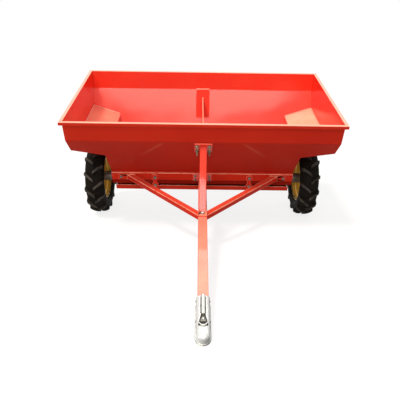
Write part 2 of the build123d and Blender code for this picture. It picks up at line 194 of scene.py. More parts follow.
def reach(tree, vector, direction, origin):
    """How far a point lies from an origin along a direction."""
    node = tree.nodes.new("ShaderNodeVectorMath")
    node.operation = "DOT_PRODUCT"
    tree.links.new(vector, node.inputs[0])
    node.inputs[1].default_value = direction
    return calculated(tree, "SUBTRACT", node.outputs["Value"], direction.dot(origin))


# Red paint, with lengths in metres: the front slope's coat alone has slanting rubs
# The front slope's coat is a darker, duller copy of the red paint that paints the shade on the panel's outside
SLOPE_COAT = "shaded_dull_red_paint"
RUB_START = 0.186
RUB_SLANT = 0.88
RUB_TONE = (0.9, 0.24, 0.15)
RUB_SHARE = 0.3
SCUFF_TONE = (0.9, 0.17, 0.1)
SCUFF_SHARE = 0.13
# Edge strips: scuffed paint, and a painted highlight along the edges
EDGE_WEAR_AND_HIGHLIGHT = (0.95, 0.42, 0.28)
# Painted highlight, with some dust, along the top edges marked as rim
RIM_HIGHLIGHT = (0.93, 0.47, 0.35)
DENTS = 0.0018
ORANGE_PEEL = 0.00002


def slanting_rubs(tree, coords):
    """Two faint rubs down the outside of the front slope, one each side, as a value from 0 to 1."""
    down = -(PARKED.to_3x3() @ SLOPE_UP).normalized()
    top = PARKED @ SLOPE_TOP
    place = axes(tree, coords)
    folded = tree.nodes.new("ShaderNodeCombineXYZ")
    tree.links.new(calculated(tree, "ABSOLUTE", place["X"]), folded.inputs["X"])
    tree.links.new(place["Y"], folded.inputs["Y"])
    tree.links.new(place["Z"], folded.inputs["Z"])
    point = folded.outputs["Vector"]
    slant = Vector((1.0, 0.0, 0.0)) - RUB_SLANT * down
    beside = reach(tree, point, slant, Vector((RUB_START, top.y, top.z)))
    along = reach(tree, point, down, top)
    band = product(tree, ramp(tree, beside, -0.008, 0.002), ramp(tree, beside, 0.006, 0.03, 1.0, 0.0))
    length = product(tree, ramp(tree, along, 0.006, 0.03), ramp(tree, along, 0.09, 0.17, 1.0, 0.0))
    outside = ramp(tree, facing(tree)["Y"], -0.3, -0.2, 1.0, 0.0)
    patchy = ramp(tree, noise(tree, coords, scale=22.0, detail=3.0), 0.3, 0.65, 0.3, 1.0)
    return product(tree, product(tree, band, length), product(tree, outside, patchy))


def make_red_paint(name, deep, light, rough, specular, dust_and_painted_light_share, edge_share, dust_and_painted_light_tone):
    """Red enamel between two tones, with dust on what faces up, which on the right floor's coat paints a sunlit
    pool and on the gate's paints shade, fine scuffs, edges scuffed pale that also paint their highlights, and a
    painted highlight along top edges marked as rim.
    """
    material, tree, surface, coords = shader(name)
    broad = ramp(tree, noise(tree, coords, scale=2.6, detail=3.0), 0.3, 0.7)
    colour = mixed(tree, broad, deep, light)
    # Pale cover on what faces up: dust on most coats, a painted sunlit pool on the right floor's coat, painted
    # shade on the gate's
    dust_cover = ramp(tree, noise(tree, coords, 7.0, 5.0, 0.6), 0.25, 0.8, 0.55, 1.0)
    dust_and_painted_light = product(tree, dust_cover, ramp(tree, facing(tree)["Z"], 0.55, 0.97))
    colour = mixed(tree, product(tree, dust_and_painted_light, dust_and_painted_light_share), colour, dust_and_painted_light_tone)
    scuff_lines = noise(tree, coords, 30.0, 2.0, 0.4, stretch=(6.0, 0.7, 0.7))
    scuff_areas = ramp(tree, noise(tree, coords, scale=4.0, detail=1.0), 0.56, 0.66)
    scuffs = product(tree, ramp(tree, scuff_lines, 0.66, 0.72), scuff_areas)
    colour = mixed(tree, product(tree, scuffs, SCUFF_SHARE), colour, SCUFF_TONE)
    # Edge strips scuffed pale, which also paints their highlights
    edge_cover = ramp(tree, noise(tree, coords, 30.0, 4.0, 0.7), 0.3, 0.62)
    edges = product(tree, edge_cover, mark(tree, "wear_and_painted_light"))
    colour = mixed(tree, product(tree, edges, edge_share), colour, EDGE_WEAR_AND_HIGHLIGHT)
    # Painted highlight along the top edges marked as rim
    rim_highlight_cover = ramp(tree, noise(tree, coords, 12.0, 4.0, 0.6), 0.25, 0.7, 0.7, 1.0)
    colour = mixed(tree, product(tree, rim_highlight_cover, mark(tree, "rim")), colour, RIM_HIGHLIGHT)
    if name == SLOPE_COAT:
        colour = mixed(tree, product(tree, slanting_rubs(tree, coords), RUB_SHARE), colour, RUB_TONE)
    tree.links.new(colour, surface.inputs["Base Color"])
    blotches = ramp(tree, noise(tree, coords, 5.0, 4.0, 0.6), 0.3, 0.75, *rough)
    tree.links.new(blotches, surface.inputs["Roughness"])
    surface.inputs["Specular IOR Level"].default_value = specular
    waves = noise(tree, coords, scale=5.5, detail=1.0)
    grain = noise(tree, coords, scale=700.0, detail=1.0)
    bumped(tree, surface, [(waves, DENTS), (grain, ORANGE_PEEL)])
    return material


PALE_DUST = (0.95, 0.52, 0.36)
# Pale sand tone that paints the right floor's sunlit patch
SAND_AND_SUNLIGHT = (0.98, 0.66, 0.44)
# Dark tone on the gate's upward faces, painted as the shade under the front beam
GRIME_AND_SHADE = (0.03, 0.011, 0.007)
# Name, deep and light tone, roughness, specular level, share of dust and painted light on what faces up, share of
# edges scuffed pale and painted as highlights, tone of that dust and painted light
RED_COATS = (
    ("red_paint", (0.85, 0.040, 0.019), (0.91, 0.052, 0.025), (0.07, 0.15), 0.5, 0.62, 0.5, PALE_DUST),
    ("wall_red_paint", (0.82, 0.028, 0.013), (0.88, 0.038, 0.017), (0.12, 0.22), 0.28, 0.62, 0.5, PALE_DUST),
    ("strut_red_paint", (0.84, 0.042, 0.019), (0.90, 0.054, 0.024), (0.05, 0.1), 0.3, 0.62, 0.5, PALE_DUST),
    # Darker copy of the red paint, duller: paints the shade on the outside of the front panel
    (SLOPE_COAT, (0.59, 0.024, 0.0105), (0.68, 0.033, 0.0135), (0.45, 0.6), 0.05, 0.62, 0.5, PALE_DUST),
    ("outer_red_paint", (0.66, 0.025, 0.011), (0.75, 0.034, 0.014), (0.28, 0.42), 0.12, 0.62, 0.5, PALE_DUST),
    # Heavy pale dust on the right floor that paints its sunlit patch
    ("sand_and_sunlit_red_paint", (0.80, 0.030, 0.013), (0.86, 0.040, 0.017), (0.15, 0.25), 0.4, 0.95, 0.5, SAND_AND_SUNLIGHT),
    ("stay_red_paint", (0.72, 0.025, 0.010), (0.80, 0.034, 0.013), (0.4, 0.5), 0.12, 0.75, 0.9, PALE_DUST),
    ("frame_red_paint", (0.64, 0.021, 0.007), (0.74, 0.030, 0.009), (0.3, 0.45), 0.08, 0.1, 1.0, PALE_DUST),
    # Very dark: paints the shade on the lip under the front beam
    ("shaded_lip_red_paint", (0.28, 0.0085, 0.003), (0.33, 0.011, 0.004), (0.4, 0.55), 0.05, 0.62, 0.5, PALE_DUST),
    # Dark grime on what faces up, painted as the shade under the front beam
    ("gate_red_paint", (0.54, 0.019, 0.007), (0.64, 0.027, 0.009), (0.35, 0.5), 0.15, 0.92, 0.9, GRIME_AND_SHADE),
    # Pale paint on welds: painted highlights along them
    ("pale_highlight_red_paint", (0.86, 0.26, 0.18), (0.92, 0.5, 0.38), (0.25, 0.4), 0.4, 0.62, 0.5, PALE_DUST),
)


# Zinc, rubber, gold paint and iron
ZINC_TONES = ((0.66, 0.67, 0.655), (0.72, 0.73, 0.715))
ZINC_STAIN = (0.36, 0.35, 0.28)
# Dark tone of the painted shade on the coupling and of the lever's outline
ZINC_PAINTED_SHADE = (0.045, 0.043, 0.03)
RUBBER_TONES = ((0.0055, 0.0044, 0.0034), (0.013, 0.010, 0.0075))
# Paler tone of lug tops: wear and painted highlight
RUBBER_WORN_AND_LIT = (0.105, 0.092, 0.077)
GOLD_TONES = ((0.78, 0.47, 0.06), (0.92, 0.63, 0.14))
GOLD_DIRT = (0.16, 0.10, 0.045)
RUST_TONE = (0.13, 0.062, 0.03)


def make_zinc():
    material, tree, surface, coords = shader("zinc")
    spangle = tree.nodes.new("ShaderNodeTexVoronoi")
    spangle.inputs["Scale"].default_value = 260.0
    tree.links.new(coords, spangle.inputs["Vector"])
    grain = tree.nodes.new("ShaderNodeSeparateColor")
    tree.links.new(spangle.outputs["Color"], grain.inputs["Color"])
    colour = mixed(tree, grain.outputs["Red"], *ZINC_TONES)
    stain = ramp(tree, noise(tree, coords, 40.0, 4.0, 0.6), 0.5, 0.75)
    colour = mixed(tree, product(tree, stain, 0.2), colour, ZINC_STAIN)
    # Painted shade from the mark: in the coupling's grooves, step and skirt edge and on its dome and neck, and as
    # the lever's dark outline
    colour = mixed(tree, mark(tree, "wear_and_painted_light"), colour, ZINC_PAINTED_SHADE)
    tree.links.new(colour, surface.inputs["Base Color"])
    surface.inputs["Metallic"].default_value = 0.55
    roughened(tree, surface, coords, 60.0, 0.26, 0.4)
    bumped(tree, surface, [(noise(tree, coords, scale=400.0), 0.00005)])
    return material


def make_rubber():
    material, tree, surface, coords = shader("tyre_rubber")
    patches = ramp(tree, noise(tree, coords, 12.0, 5.0, 0.6), 0.35, 0.7)
    colour = mixed(tree, patches, *RUBBER_TONES)
    # Lug tops paler: wear and painted highlight; their sides a little
    painted_light_and_wear = product(tree, ramp(tree, noise(tree, coords, 28.0, 5.0, 0.7), 0.3, 0.6), mark(tree, "wear_and_painted_light"))
    colour = mixed(tree, product(tree, painted_light_and_wear, 0.8), colour, RUBBER_WORN_AND_LIT)
    tree.links.new(colour, surface.inputs["Base Color"])
    roughened(tree, surface, coords, 30.0, 0.6, 0.85)
    surface.inputs["Specular IOR Level"].default_value = 0.06
    coarse = noise(tree, coords, 90.0, 4.0, 0.6)
    fine = noise(tree, coords, scale=900.0, detail=1.0)
    bumped(tree, surface, [(coarse, 0.0003), (fine, 0.00005)])
    return material


def make_gold_paint():
    material, tree, surface, coords = shader("gold_paint")
    patches = ramp(tree, noise(tree, coords, 16.0, 4.0, 0.6), 0.3, 0.7)
    colour = mixed(tree, patches, *GOLD_TONES)
    dirt = ramp(tree, noise(tree, coords, 45.0, 5.0, 0.7), 0.55, 0.75)
    colour = mixed(tree, product(tree, dirt, 0.4), colour, GOLD_DIRT)
    tree.links.new(colour, surface.inputs["Base Color"])
    surface.inputs["Metallic"].default_value = 0.28
    surface.inputs["Specular IOR Level"].default_value = 0.3
    roughened(tree, surface, coords, 20.0, 0.22, 0.36)
    bumped(tree, surface, [(noise(tree, coords, scale=500.0, detail=1.0), 0.00004)])
    return material


def make_iron(name, dark, light, metallic, rough_low, rough_high):
    """Bare or blackened iron between two greys, with a cast or rolled grain."""
    material, tree, surface, coords = shader(name)
    colour = mixed(tree, ramp(tree, noise(tree, coords, 25.0, 5.0, 0.65), 0.3, 0.7), dark, light)
    rust = product(tree, ramp(tree, noise(tree, coords, 60.0, 4.0, 0.7), 0.56, 0.72), 0.5)
    colour = mixed(tree, rust, colour, RUST_TONE)
    tree.links.new(colour, surface.inputs["Base Color"])
    surface.inputs["Metallic"].default_value = metallic
    roughened(tree, surface, coords, 40.0, rough_low, rough_high)
    bumped(tree, surface, [(noise(tree, coords, 260.0, 3.0, 0.6), 0.00012)])
    return material


# Name, dark and light tone, share of metal, least and greatest roughness
IRON_COATS = (
    ("grey_iron", (0.19, 0.178, 0.155), (0.33, 0.31, 0.275), 0.6, 0.3, 0.45),
    ("bolt_steel", (0.085, 0.078, 0.06), (0.32, 0.30, 0.25), 0.8, 0.2, 0.36),
    ("aged_steel", (0.085, 0.072, 0.04), (0.33, 0.28, 0.17), 0.7, 0.3, 0.45),
    ("dark_steel", (0.028, 0.027, 0.026), (0.065, 0.06, 0.055), 0.6, 0.4, 0.6),
    ("bright_steel", (0.36, 0.35, 0.33), (0.52, 0.51, 0.49), 0.95, 0.22, 0.38),
)

MATERIALS = {coat[0]: make_red_paint(*coat) for coat in RED_COATS}
MATERIALS["zinc"] = make_zinc()
MATERIALS["tyre"] = make_rubber()
MATERIALS["gold_paint"] = make_gold_paint()
MATERIALS.update({coat[0]: make_iron(*coat) for coat in IRON_COATS})


# Pieces
CRISP = 32.0


def placed(name, mesh, body, slot, replaced=(), crisp=CRISP, coat=None):
    """Piece from a parked mesh: smooth but for edges sharper than crisp, riding on its body. It takes its
    slot's material, or another coat of it."""
    mesh.shade_smooth()
    mesh.set_sharp_from_angle(angle=math.radians(crisp))
    piece = bpy.data.objects.new(name, mesh)
    bpy.context.scene.collection.objects.link(piece)
    mesh.materials.clear()
    mesh.materials.append(MATERIALS[coat or slot])
    normals = piece.modifiers.new("normals", "WEIGHTED_NORMAL")
    normals.keep_sharp = True
    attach(piece, body)
    if replaced:
        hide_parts(*replaced)
    return piece


def drawn(name, shape, body, slot, replaced=(), crisp=CRISP, coat=None):
    """Piece from a shape drawn with the drawbar level."""
    bmesh.ops.recalc_face_normals(shape, faces=shape.faces)
    shape.transform(PARKED)
    mesh = bpy.data.meshes.new(name)
    shape.to_mesh(mesh)
    shape.free()
    return placed(name, mesh, body, slot, replaced, crisp, coat)


def temporary(shape):
    """Object that holds a shape until its modifiers have worked."""
    mesh = bpy.data.meshes.new("temporary")
    shape.to_mesh(mesh)
    shape.free()
    blank = bpy.data.objects.new("temporary", mesh)
    bpy.context.scene.collection.objects.link(blank)
    return blank


def evaluated(blank):
    """Mesh that an object's modifiers give."""
    bpy.context.view_layer.update()
    return bpy.data.meshes.new_from_object(blank.evaluated_get(bpy.context.evaluated_depsgraph_get()))


# Rounded copies of CAD nodes: radii in millimetres and turns in radians
WIDEST = 6.0
MERGED = 0.01
FLAT = math.radians(1.0)
LEAST_TURN = 0.35
FOLD_TURN = 1.1
TUBE_FROM = 150.0
EDGE_STRIP = 3.0
PALE_DEPTH = 0.8


def bevelled(node, corner, tube, fold):
    """Mesh of a CAD node with its edges rounded and the rounded strips in a second material: fold is the
    radius of a sheet's bends, tube that of long edges and corner that of the others."""
    shape = bmesh.new()
    shape.from_mesh(frame["nodes"][node].data)
    shape.transform(LEVEL)
    bmesh.ops.remove_doubles(shape, verts=shape.verts, dist=MERGED)
    bmesh.ops.dissolve_limit(shape, angle_limit=FLAT, verts=shape.verts, edges=shape.edges)
    weight = shape.edges.layers.float.new("bevel_weight_edge")
    for edge in shape.edges:
        turn = edge.calc_face_angle(0.0)
        if turn < LEAST_TURN:
            continue
        radius = corner
        if fold and turn < FOLD_TURN:
            radius = fold
        elif tube and edge.calc_length() > TUBE_FROM:
            radius = tube
        edge[weight] = radius / WIDEST
    shape.transform(PARKED)
    blank = temporary(shape)
    blank.data.materials.append(None)
    blank.data.materials.append(None)
    bevel = blank.modifiers.new("bevel", "BEVEL")
    bevel.limit_method = "WEIGHT"
    bevel.width = WIDEST * MM
    bevel.segments = 2
    bevel.use_clamp_overlap = False
    bevel.material = 1
    mesh = evaluated(blank)
    bpy.data.objects.remove(blank)
    low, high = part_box(node)
    for vertex in mesh.vertices:
        vertex.co = [min(max(vertex.co[k], low[k]), high[k]) for k in range(3)]
    return mesh


def level_height(polygon):
    """Height of a parked face's middle, with the drawbar level."""
    return (LEVEL @ polygon.center).z


def marked(mesh, painted_light_and_wear, pale_from):
    """Marks narrow rounded strips for wear and painted light where asked, and what reaches the height pale_from as
    rim, which is painted as a highlight.
    """
    wear_and_painted_light = mesh.attributes.new("wear_and_painted_light", "FLOAT", "FACE")
    rim_highlight = mesh.attributes.new("rim", "FLOAT", "FACE")
    for polygon in mesh.polygons:
        rim_highlight.data[polygon.index].value = float(level_height(polygon) > pale_from - PALE_DEPTH)
        corners = [mesh.vertices[k].co for k in polygon.vertices]
        narrowest = min((here - there).length for here, there in zip(corners, corners[1:] + corners[:1]))
        strip = painted_light_and_wear and polygon.material_index and narrowest < EDGE_STRIP * MM
        wear_and_painted_light.data[polygon.index].value = float(strip)
        polygon.material_index = 0


def coated(mesh, coat, chosen):
    """Gives a second coat to the faces that a test chooses."""
    mesh.materials.append(MATERIALS[coat])
    for polygon in mesh.polygons:
        polygon.material_index = int(chosen(polygon))


def rounded(
    node, corner, body="frame", tube=None, fold=None, slot="red_paint",
    coat=None, painted_light_and_wear=True, outer=None, pale_from=RIM_TOP,
):
    """Copy of a CAD node with rounded edges and marks of wear and painted light. outer is a direction, a coat and
    a cosine:
    faces that turn to the direction by more than the cosine take that coat."""
    mesh = bevelled(node, corner, tube, fold)
    marked(mesh, painted_light_and_wear, pale_from)
    mesh.name = node + "_finish"
    piece = placed(node + "_finish", mesh, body, slot, (node,), coat=coat)
    if outer:
        direction, outer_coat, least = outer
        towards = (PARKED.to_3x3() @ Vector(direction)).normalized()
        coated(mesh, outer_coat, lambda polygon: polygon.normal.dot(towards) > least)
    return piece


def reshaped(piece, move):
    """Moves the points of a piece as a function moves them with the drawbar level."""
    for vertex in piece.data.vertices:
        point = LEVEL @ vertex.co
        move(point)
        vertex.co = PARKED @ point


# Drawn forms
def skinned(shape, loops):
    """Joins loops of points into a skin and caps both ends."""
    for lower, upper in zip(loops, loops[1:]):
        for index in range(len(lower)):
            after = (index + 1) % len(lower)
            shape.faces.new((lower[index], lower[after], upper[after], upper[index]))
    shape.faces.new(list(reversed(loops[0])))
    shape.faces.new(loops[-1])


def lathe(shape, matrix, rings, sides, phase=0.0):
    """Closed turned or prismatic form: rings of (radius, height) about a matrix's Z, capped at both ends."""
    loops = []
    for radius, height in rings:
        loop = []
        for index in range(sides):
            angle = phase + 2 * math.pi * index / sides
            point = Vector((radius * math.cos(angle), radius * math.sin(angle), height))
            loop.append(shape.verts.new(matrix @ point))
        loops.append(loop)
    skinned(shape, loops)


def aimed(origin, axis):
    """Matrix at a point with Z along an axis."""
    direction = Vector(axis).normalized()
    return Matrix.Translation(Vector(origin)) @ direction.to_track_quat("Z", "Y").to_matrix().to_4x4()


THREAD_PITCH = 1.5
STUD_SINK = 1.0


def bolt(shape, origin, axis, size, head=0.65, stud=0.0, turn=0.3):
    """Washer and hexagon on a face, in proportion to the bolt's size, with a threaded stud where asked."""
    seat = aimed(origin, axis)
    washer = 0.2 * size
    washer_rim = 1.12 * size
    across = 0.98 * size
    top = washer + head * size
    washer_rings = [(washer_rim, 0), (washer_rim, 0.7 * washer), (1.02 * size, washer)]
    head_rings = [(across, washer), (across, top - 0.14 * size), (0.84 * across, top)]
    lathe(shape, seat, washer_rings, sides=20)
    lathe(shape, seat, head_rings, sides=6, phase=turn)
    if stud:
        crest = 0.5 * size
        root = 0.43 * size
        steps = max(2, int(stud / THREAD_PITCH))
        rings = [(crest, top - STUD_SINK)]
        for step in range(steps):
            height = top + stud * step / steps
            rings += [(crest, height), (root, height + stud / steps / 2)]
        rings.append((0.34 * size, top + stud))
        lathe(shape, seat, rings, sides=12)


BEAD_PACE = 4.5
BEAD_SIDES = 7
BEAD_LEAST = 0.86
BEAD_RIPPLE = 0.2
BEAD_CHANCE = 0.08
BEAD_END = 0.55


def bead(shape, points, radius, seed):
    """Weld run along a line of points: an uneven rippled ridge, sunk in the corner that it fills."""
    draw = random.Random(seed)
    path = []
    for start, end in zip(points, points[1:]):
        start, end = Vector(start), Vector(end)
        count = max(2, round((end - start).length / BEAD_PACE))
        path += [start.lerp(end, index / count) for index in range(count)]
    path.append(Vector(points[-1]))
    last = len(path) - 1
    loops = []
    for index, point in enumerate(path):
        across = aimed(point, path[min(index + 1, last)] - path[max(index - 1, 0)])
        swell = radius * (BEAD_LEAST + BEAD_RIPPLE * (index % 2) + draw.uniform(-BEAD_CHANCE, BEAD_CHANCE))
        if index in (0, last):
            swell *= BEAD_END
        loop = []
        for side in range(BEAD_SIDES):
            angle = 2 * math.pi * side / BEAD_SIDES
            outward = Vector((swell * math.cos(angle), swell * math.sin(angle), 0))
            loop.append(shape.verts.new(across @ outward))
        loops.append(loop)
    skinned(shape, loops)


def slab(outline, bottom, top):
    """Closed form from a plan outline of (x, y), between two heights."""
    shape = bmesh.new()
    skinned(shape, [[shape.verts.new((x, y, height)) for x, y in outline] for height in (bottom, top)])
    bmesh.ops.recalc_face_normals(shape, faces=shape.faces)
    return shape


def joined(parts):
    """One shape from several."""
    whole = bmesh.new()
    for part in parts:
        part_mesh = bpy.data.meshes.new("part")
        part.to_mesh(part_mesh)
        part.free()
        whole.from_mesh(part_mesh)
    return whole


# Painted steel: copies with rounded edges and folds
SHEET_EDGE = 0.8
SHEET_FOLD = 5.0
PLATE_EDGE = 0.6
BEAM_EDGE = 0.7
BEAM_ROUND = 3.6
OUTSIDE = 0.15
ALL_BUT_INSIDE = -0.6
BEAM_RISE = 5.0
BEAM_DROP = 6.0
LIP_INSET = 6.0
LIP_BOTTOM = 281.0
FACE_ROW = 0.3
ROUND_ROW = 2.5
UNDER_ROW = 6.0
UNDER_DEPTH = 0.5
LEVER_BEND = -1190.0
LEVER_TRIM = 20.0


def lipped(point):
    """Raises the beam's top, and draws its lower front corner down into a lip set back from its face."""
    behind = point.y + BEAM_FACE
    if point.z > BEAM_MIDDLE:
        point.z += BEAM_RISE
    elif behind < FACE_ROW:
        point.z -= BEAM_DROP
    elif behind < UNDER_ROW and point.z < BEAM_BOTTOM + UNDER_DEPTH:
        point.y = LIP_INSET - BEAM_FACE
        point.z = LIP_BOTTOM
    elif behind < ROUND_ROW:
        point.y = LIP_INSET - BEAM_FACE
        point.z -= BEAM_DROP


def trimmed(point):
    """Brings the lever's front end back."""
    if point.y < LEVER_BEND:
        point.y += LEVER_TRIM


rear_out = Vector((SLOPE_NORMAL.x, -SLOPE_NORMAL.y, SLOPE_NORMAL.z))
# The front panel but for its inside takes the darker coat, painted as shade
rounded("hopper_front", SHEET_EDGE, fold=SHEET_FOLD, outer=(SLOPE_NORMAL, SLOPE_COAT, ALL_BUT_INSIDE))
rounded("hopper_rear", SHEET_EDGE, fold=SHEET_FOLD, outer=(rear_out, "outer_red_paint", OUTSIDE))
# The right floor's coat paints its sunlit patch
for side, hand, floor_coat in (("left", -1, "red_paint"), ("right", 1, "sand_and_sunlit_red_paint")):
    sideways = ((hand, 0, 0), "outer_red_paint", OUTSIDE)
    below = ((0, 0, -1), "outer_red_paint", OUTSIDE)
    rounded("hopper_end_" + side, SHEET_EDGE, fold=SHEET_FOLD, coat="wall_red_paint", outer=sideways)
    rounded("end_floor_" + side, PLATE_EDGE, coat=floor_coat, outer=below)
    rounded("trough_end_" + side, PLATE_EDGE, outer=sideways)
rounded("centre_stay", corner=0.9, coat="stay_red_paint")
rounded("rear_beam", BEAM_EDGE, tube=BEAM_ROUND, coat="frame_red_paint")
beam = rounded("front_beam", BEAM_EDGE, tube=BEAM_ROUND, coat="frame_red_paint")
reshaped(beam, lipped)
beam.data.set_sharp_from_angle(angle=math.radians(CRISP))
# The lip below the beam's face takes a very dark coat, painted as the shade under the beam
coated(beam.data, "shaded_lip_red_paint", lambda polygon: level_height(polygon) < BEAM_BOTTOM)
# The beam's lower half keeps no pale edges: no painted highlight or wear there
for polygon in beam.data.polygons:
    if level_height(polygon) < BEAM_MIDDLE:
        beam.data.attributes["wear_and_painted_light"].data[polygon.index].value = 0.0
# The gate's top edge takes the painted highlight, and its coat paints shade on what faces up
rounded("gate", corner=0.7, tube=0.9, coat="gate_red_paint", pale_from=GATE_TOP)
for side in ("left", "right"):
    rounded("gate_strap_" + side, corner=0.9, coat="stay_red_paint")
rounded("drawbar", corner=1.0, tube=3.6, painted_light_and_wear=False)
rounded("strut", corner=1.2, tube=3.2, painted_light_and_wear=False, coat="strut_red_paint")
for side in ("left", "right"):
    rounded("brace_" + side, corner=1.0, tube=3.0, coat="frame_red_paint")
# The lever's rounded edge strips are painted dark in zinc, as its shaded outline
reshaped(rounded("coupling_lever", corner=1.8, slot="zinc"), trimmed)
for side, wheel in (("left", "left_wheel"), ("right", "axle")):
    rounded("bearing_" + side, corner=1.2, slot="grey_iron")
    rounded("hub_" + side, corner=1.5, body=wheel, slot="grey_iron")
rounded("axle", corner=1.2, body="axle", slot="bright_steel")
rounded("roller", corner=0.8, body="axle", slot="dark_steel")


# Tyres: a rounded casing with sidewall rings and raised lugs in two rows
TYRE_RADIUS = 225.0
TYRE_STEPS = 112
TYRE_CRISP = 38.0
# Axial place and radius, from the bead at the rim to the middle of the tread
CASING = (
    (37.6, 127.4), (37.6, 138.6), (40.5, 140.0), (44.5, 143.0), (48.0, 147.5), (50.2, 149.0), (50.8, 152.0),
    (53.0, 158.0), (54.6, 166.0), (54.6, 174.0), (53.0, 182.0), (49.8, 189.5), (45.0, 195.5), (38.5, 200.4),
    (30.0, 204.2), (20.0, 207.0), (10.0, 208.5), (0.0, 209.0),
)
LUG_COUNT = 14
LUG_PHASE = math.radians(10.0)
LUG_ALONG = (0.0, 0.025, 0.06, 0.25, 0.45, 0.65, 0.84, 0.94, 0.98, 1.0)
LUG_ACROSS = (-1.0, -0.86, -0.72, 0.0, 0.72, 0.86, 1.0)
LUG_SWEEP = 46.0
LUG_BOW = 2.5
LUG_WIDTH = 20.0
LUG_NARROW = 0.92
LUG_WIDENS = 0.2
LUG_FLARE = 1.16
LUG_START = -4.0
LUG_END = 54.4
LUG_CLEAR = 0.6
LUG_FALL = 15.0
LUG_FALL_POWER = 2.6
LUG_EDGE = 2.6
LUG_DEPTH = 20.0
HEEL_FROM = 0.8
HEEL_LENGTH = 0.2
HEEL_DEPTH = 9.0
LUG_SIDE_MARK = 0.25


def wheel_point(hand, axial, radius, turn):
    """Point on a wheel: axial runs out from its middle and turn goes forward from its top."""
    return Vector((hand * (WHEEL_X + axial), -radius * math.sin(turn), AXLE_Z + radius * math.cos(turn)))


def revolve(shape, hand, profile, count):
    """Closed profile of (axial, radius) turned about the axle into a skin."""
    loops = []
    for index in range(count):
        turn = 2 * math.pi * index / count
        loops.append([shape.verts.new(wheel_point(hand, a, r, turn)) for a, r in profile])
    for index in range(count):
        here, there = loops[index], loops[(index + 1) % count]
        for k in range(len(profile)):
            after = (k + 1) % len(profile)
            shape.faces.new((here[k], here[after], there[after], there[k]))


def lug(shape, hand, row, turn, wear_and_painted_light):
    """One lug: a bar from just past the middle out over the shoulder, swept to the rear at the top."""
    rows = len(LUG_ALONG)
    columns = len(LUG_ACROSS)
    grid = []
    for i, along in enumerate(LUG_ALONG):
        line = []
        axial = LUG_START + (LUG_END - LUG_START) * along
        crown = TYRE_RADIUS - LUG_CLEAR - LUG_FALL * (max(0.0, axial) / LUG_END) ** LUG_FALL_POWER
        root = crown - LUG_DEPTH - HEEL_DEPTH * max(0.0, along - HEEL_FROM) / HEEL_LENGTH
        sweep = LUG_SWEEP * (along - 0.5) + LUG_BOW * math.sin(math.pi * along)
        for j, across in enumerate(LUG_ACROSS):
            ring = min(i, rows - 1 - i, j, columns - 1 - j)
            radius = root if ring == 0 else crown - (LUG_EDGE if ring == 1 else 0.0)
            half = 0.5 * LUG_WIDTH * (LUG_NARROW + LUG_WIDENS * along) * (1.0 if ring else LUG_FLARE)
            angle = turn - (sweep + half * across) / TYRE_RADIUS
            line.append(shape.verts.new(wheel_point(hand, row * axial, radius, angle)))
        grid.append(line)
    for i in range(rows - 1):
        for j in range(columns - 1):
            face = shape.faces.new((grid[i][j], grid[i + 1][j], grid[i + 1][j + 1], grid[i][j + 1]))
            # Lug tops are marked for wear and painted highlight, their sides a little
            on_top = 0 < i < rows - 2 and 0 < j < columns - 2
            face[wear_and_painted_light] = 1.0 if on_top else LUG_SIDE_MARK
    edge = [grid[i][0] for i in range(rows)]
    edge += [grid[-1][j] for j in range(1, columns)]
    edge += [grid[i][-1] for i in range(rows - 2, -1, -1)]
    edge += [grid[0][j] for j in range(columns - 2, 0, -1)]
    shape.faces.new(list(reversed(edge)))


def tyre(side, hand, body):
    shape = bmesh.new()
    wear_and_painted_light = shape.faces.layers.float.new("wear_and_painted_light")
    profile = list(CASING) + [(-a, r) for a, r in reversed(CASING[:-1])]
    revolve(shape, hand, profile, TYRE_STEPS)
    step = math.pi / LUG_COUNT
    for index in range(LUG_COUNT):
        lug(shape, hand, 1, LUG_PHASE + 2 * index * step, wear_and_painted_light)
        lug(shape, hand, -1, LUG_PHASE + (2 * index + 1) * step, wear_and_painted_light)
    drawn("tyre_%s_rubber" % side, shape, body, "tyre", ("tyre_" + side,), TYRE_CRISP)


# Rims: a rolled flange each side, a stepped barrel, a dished disc and a valve
RIM_STEPS = 96
RIM_CRISP = 35.0
# Axial place and radius, from the barrel to the flange's edge
RIM_HALF = (
    (15.0, 118.0), (20.0, 126.6), (34.0, 126.9), (36.8, 128.6),
    (37.9, 133.0), (37.9, 136.4), (36.6, 138.0), (34.5, 138.6),
)
RIM_SHEET = 2.6
FLANGE_FROM = 34.2
FLANGE_SHEET = 0.4
CURL_FROM = 35.5
CURL = 2.2
DISC_RADII = (30.2, 47.0, 51.0, 59.0, 63.0, 71.0, 75.0, 83.0, 87.0, 95.0, 99.0, 106.0, 110.0, 116.8)
DISC_FACE = 8.0
DISC_PRESS = 3.0
DISC_SHEET = 3.0
VALVE_TURN = 0.6
VALVE_FOOT = (15.5, 117.0)
VALVE_HEAD = (40.0, 96.0)
VALVE_RINGS = (
    (7.5, 0), (7.5, 3), (4.6, 5), (4.0, 14), (2.9, 15), (2.9, 22), (3.4, 22.5), (3.4, 28), (2.4, 29),
)


